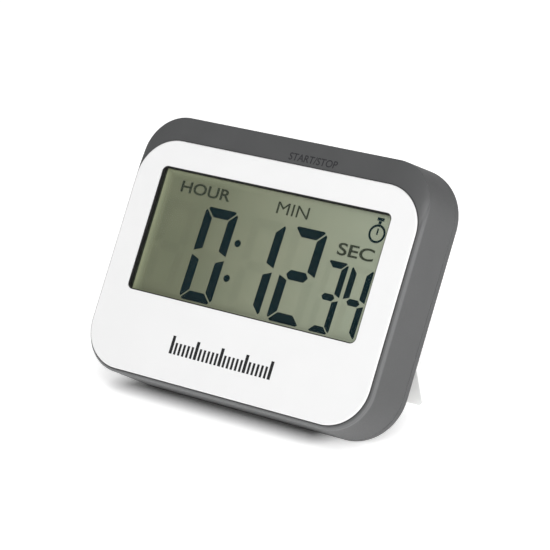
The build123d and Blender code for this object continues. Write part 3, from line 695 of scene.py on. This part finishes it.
def segments(left, size):
    """The seven bars of a digit, by letter, clockwise from the top and then the middle."""
    w, h, t, g = size["width"], size["height"] / 2, size["stroke"], size["gap"]
    cut = CORNER_CUT * t
    top = [(g + cut, h), (w - g - cut, h), (w - g - cut / 2, h - cut / 2), (w - g - t, h - t),
           (g + t, h - t), (g + cut / 2, h - cut / 2)]
    side = [(0, h - g - cut), (cut / 2, h - g - cut / 2), (t, h - g - t), (t, g + t / 2),
            (0, g + SIDE_FOOT * t)]
    tip = MIDDLE_TIP * t
    middle_bar = [(g + tip, 0), (g + t, t / 2), (w - g - t, t / 2), (w - g - tip, 0),
                  (w - g - t, -t / 2), (g + t, -t / 2)]
    drawn = {
        "a": top,
        "b": [(w - x, y) for x, y in side],
        "c": [(w - x, -y) for x, y in side],
        "d": [(x, -y) for x, y in top],
        "e": [(x, -y) for x, y in side],
        "f": side,
        "g": middle_bar,
    }
    return {letter: [(left + x + SLANT * y, size["middle"] + y) for x, y in outline]
            for letter, outline in drawn.items()}


film = sheet(FILM_DEPTH)
lit, unlit = [], []
for left, figure, size in DIGITS:
    for letter, outline in segments(left, size).items():
        (lit if letter in SHOWN[figure] else unlit).append(outline)

segment_ink = display_ink("segment_ink", SEGMENT)
caption_ink = display_ink("caption_ink", srgb(52, 56, 48))
piece("display_digits", raised(lit, film, INK, SINK), segment_ink, "case")
colon_dots = [round_outline(dot, COLON_RADIUS) for dot in COLON]
piece("display_colon", raised(colon_dots, film, INK, SINK), segment_ink, "case")
piece("display_resting_segments", raised(unlit, film, INK / 2, SINK),
      display_film("resting_segment_ink", RESTING_SHARE), "case")

# Words, left and bottom edge, width, height and weight.
CAPTIONS = {"hour": ("HOUR", -31.95, 19.8, 17.3, 3.4, 0.018),
            "minute": ("MIN", 1.45, 19.7, 10.6, 3.4, 0.0),
            "second": ("SEC", 24.2, 12.1, 11.7, 3.6, 0.018)}
for caption, (words, *room, weight) in CAPTIONS.items():
    piece(f"display_{caption}_caption", lettering(words, film, *room, INK, weight),
          caption_ink, "case")

ICON = (34.8, 20.1)         # middle of the stopwatch's ring
ICON_RADIUS = 2.0
ICON_LINE = 0.65
ICON_STEM = (0.9, 0.9)      # width and height
ICON_CROWN = (2.2, 0.9)
ICON_HAND = (0.5, 1.8)
ICON_HAND_FOOT = -0.3       # above the middle of the ring
ICON_GAP = 0.05             # between the ring, the stem and the crown
icon_ring = [round_outline(ICON, ICON_RADIUS), round_outline(ICON, ICON_RADIUS + ICON_LINE)]
stem_foot = ICON_RADIUS + ICON_LINE + ICON_GAP
crown_foot = stem_foot + ICON_STEM[1] + ICON_GAP
icon_bars = [bar(ICON[0] - width / 2, ICON[1] + foot, width, height)
             for (width, height), foot in ((ICON_STEM, stem_foot), (ICON_CROWN, crown_foot),
                                           (ICON_HAND, ICON_HAND_FOOT))]
piece("display_stopwatch_icon",
      raised(icon_bars, film, INK, SINK, rings=[icon_ring]), segment_ink, "case")

# ---------------------------------------------------------------- print on the case
print_ink = display_ink("print_ink", srgb(22, 22, 24), 0.45, 1.4)
rim_ink = display_ink("rim_ink", srgb(38, 38, 40), 0.5, 1.4)
panel_sheet = sheet(0.0)

TICKS = 25
LONG_TICK_EVERY = 6
TICK_PITCH = 1.4
TICK_MIDDLE = -1.05         # middle of the row to the right of the middle of the panel, mm
TICK_BASE = -26.0           # lower end of the marks above the middle of the panel, mm
LONG_TICK = (1.0, 5.2)      # width and height
SHORT_TICK = (0.75, 3.4)
ticks = []
for tick in range(TICKS):
    tick_width, tick_height = SHORT_TICK if tick % LONG_TICK_EVERY else LONG_TICK
    tick_left = TICK_MIDDLE + (tick - (TICKS - 1) / 2) * TICK_PITCH - tick_width / 2
    ticks.append(bar(tick_left, TICK_BASE, tick_width, tick_height))
piece("panel_tick_marks", raised(ticks, panel_sheet, INK, SINK), print_ink, "case")

LABEL_BOX = (1.0, 35.1, 16.0, 2.2)  # left, bottom, width and height
LABEL_WEIGHT = 0.012
label = lettering("START/STOP", panel_sheet, *LABEL_BOX, 2 * INK, LABEL_WEIGHT)
piece("start_stop_label", laid_on(label, "front_housing", INK, SINK), rim_ink, "case")

# ---------------------------------------------------------------- marks on the back
BACK_DEPTH = 20.8           # back face of the case behind the panel's face, mm
MARK_UP = 36.3              # lower edge of the key marks above the middle of the panel, mm
MARK_HEIGHT = 1.7
back = sheet(BACK_DEPTH, facing=-1)
# Words, distance to the right of the middle as seen from the front, and width.
BACK_MARKS = {
    "hour": ("HOUR", 31.0, 7.0),
    "minute": ("MIN", 20.0, 5.0),
    "second": ("SEC", 9.0, 5.0),
    "reset": ("RESET", -2.0, 7.6),
}
back_ink = display_ink("back_ink", srgb(214, 214, 214), 0.5, 1.4)
for mark, (words, right, width) in BACK_MARKS.items():
    piece(f"{mark}_key_mark",
          lettering(words, back, -right - width / 2, MARK_UP, width, MARK_HEIGHT, INK), back_ink,
          "case")

KNOB_MARK_HEIGHT = 1.4
KNOB_MARK_GAP = 2.6         # from the middle of the mode knob up to its two marks
# Words, width and how far right of the knob's middle their own is, as seen from behind.
KNOB_MARKS = {"up": ("UP", 2.6, -5.1), "down": ("DOWN", 5.6, 2.5)}


def back_spot(node):
    """Middle of a CAD node on the back sheet, in millimetres."""
    place = middle(node) - face_origin
    return -place.dot(RIGHT) / MM, place.dot(UP) / MM


knob_left, knob_up = back_spot("mode_knob")
for mark, (words, width, shift) in KNOB_MARKS.items():
    piece(f"mode_{mark}_mark",
          lettering(words, back, knob_left + shift - width / 2, knob_up + KNOB_MARK_GAP, width,
                    KNOB_MARK_HEIGHT, INK), back_ink, "case")

ARROW_SHIFT = -10.5         # from the middle of the battery door, the way it opens
ARROW_SIZE = 2.2
# Corners from its tip at -1 to its tail at 1.
ARROW_SHAPE = ((-1, 0), (0, 1), (0, 0.35), (1, 0.35), (1, -0.35), (0, -0.35), (0, -1))
door_left, door_up = back_spot("battery_door")
arrow = [(door_left + ARROW_SHIFT + x * ARROW_SIZE, door_up + y * ARROW_SIZE)
         for x, y in ARROW_SHAPE]
piece("battery_door_arrow",
      laid_on(raised([arrow], back, INK, SINK), "battery_door", INK, SINK, facing=-1),
      back_ink, "battery_door")

# ---------------------------------------------------------------- floor, light and camera
FLOOR_HALF = 4.0            # half side of the floor, metres
WORLD_STRENGTH = 0.36
floor_shape = bmesh.new()
bmesh.ops.create_grid(floor_shape, x_segments=8, y_segments=8, size=FLOOR_HALF)
floor_mesh = finished_mesh(floor_shape, Matrix.Identity(4))
floor = bpy.data.objects.new("floor", floor_mesh)
bpy.context.scene.collection.objects.link(floor)
floor_mesh.materials.append(floor_with_painted_glow("floor_with_painted_glow"))

world = bpy.data.worlds.new("studio")
bpy.context.scene.world = world
world.use_nodes = True
world.node_tree.nodes["Background"].inputs["Color"].default_value = (1.0, 1.0, 1.0, 1.0)
world.node_tree.nodes["Background"].inputs["Strength"].default_value = WORLD_STRENGTH


def soft_box(name, azimuth, elevation, distance, width, height, power):
    """Rectangular lamp that faces the timer from a direction round it."""
    lamp = bpy.data.lights.new(name, "AREA")
    lamp.shape = "RECTANGLE"
    lamp.size, lamp.size_y = width, height
    lamp.energy = power
    holder = bpy.data.objects.new(name, lamp)
    bpy.context.scene.collection.objects.link(holder)
    back_way = direction(azimuth, elevation)
    holder.location = (cad_low + cad_high) / 2 + back_way * distance
    holder.rotation_mode = "QUATERNION"
    holder.rotation_quaternion = (-back_way).to_track_quat("-Z", "Y")


def direction(azimuth, elevation):
    """Unit vector from the timer; azimuth 0 is the front, 90 the right, in degrees."""
    turn, lift = radians(azimuth), radians(elevation)
    return Vector((sin(turn) * cos(lift), -cos(turn) * cos(lift), sin(lift)))


# Azimuth and elevation in degrees, distance, width and height in metres, power in watts.
LIGHTS = {
    "front_light": (38, 36, 1.2, 0.45, 0.45, 7.4),
    "side_light": (90, 12, 1.0, 0.4, 0.4, 2.2),
    "fill_light": (-35, 30, 1.2, 0.5, 0.5, 0.8),
    "high_light": (25, 60, 1.2, 0.6, 0.6, 3.0),
}
for light, settings in LIGHTS.items():
    soft_box(light, *settings)

CAMERA_AZIMUTH = 34.67
CAMERA_ELEVATION = 20.12
CAMERA_DISTANCE = 668.18    # from the middle of the panel, mm
CAMERA_RIGHT = 7.516        # the camera's offset to its own right, mm
CAMERA_UP = 0.76
CAMERA_LENS = 157.09        # focal length, mm
CAMERA_SENSOR = 36.0        # width of its sensor, mm
CAMERA_CLIP = (0.05, 20.0)  # nearest and furthest distance drawn, metres

camera = bpy.data.objects.new("camera", bpy.data.cameras.new("camera"))
bpy.context.scene.collection.objects.link(camera)
camera_back = direction(CAMERA_AZIMUTH, CAMERA_ELEVATION)
camera_turn = (-camera_back).to_track_quat("-Z", "Y")
camera_right = camera_turn @ Vector((1, 0, 0))
camera_up = camera_turn @ Vector((0, 1, 0))
camera.location = face_origin + (camera_right * CAMERA_RIGHT + camera_up * CAMERA_UP
                                 + camera_back * CAMERA_DISTANCE) * MM
camera.rotation_mode = "QUATERNION"
camera.rotation_quaternion = camera_turn
camera.data.lens = CAMERA_LENS
camera.data.sensor_width = CAMERA_SENSOR
camera.data.clip_start, camera.data.clip_end = CAMERA_CLIP
bpy.context.scene.camera = camera
bpy.context.scene.view_settings.view_transform = "Standard"
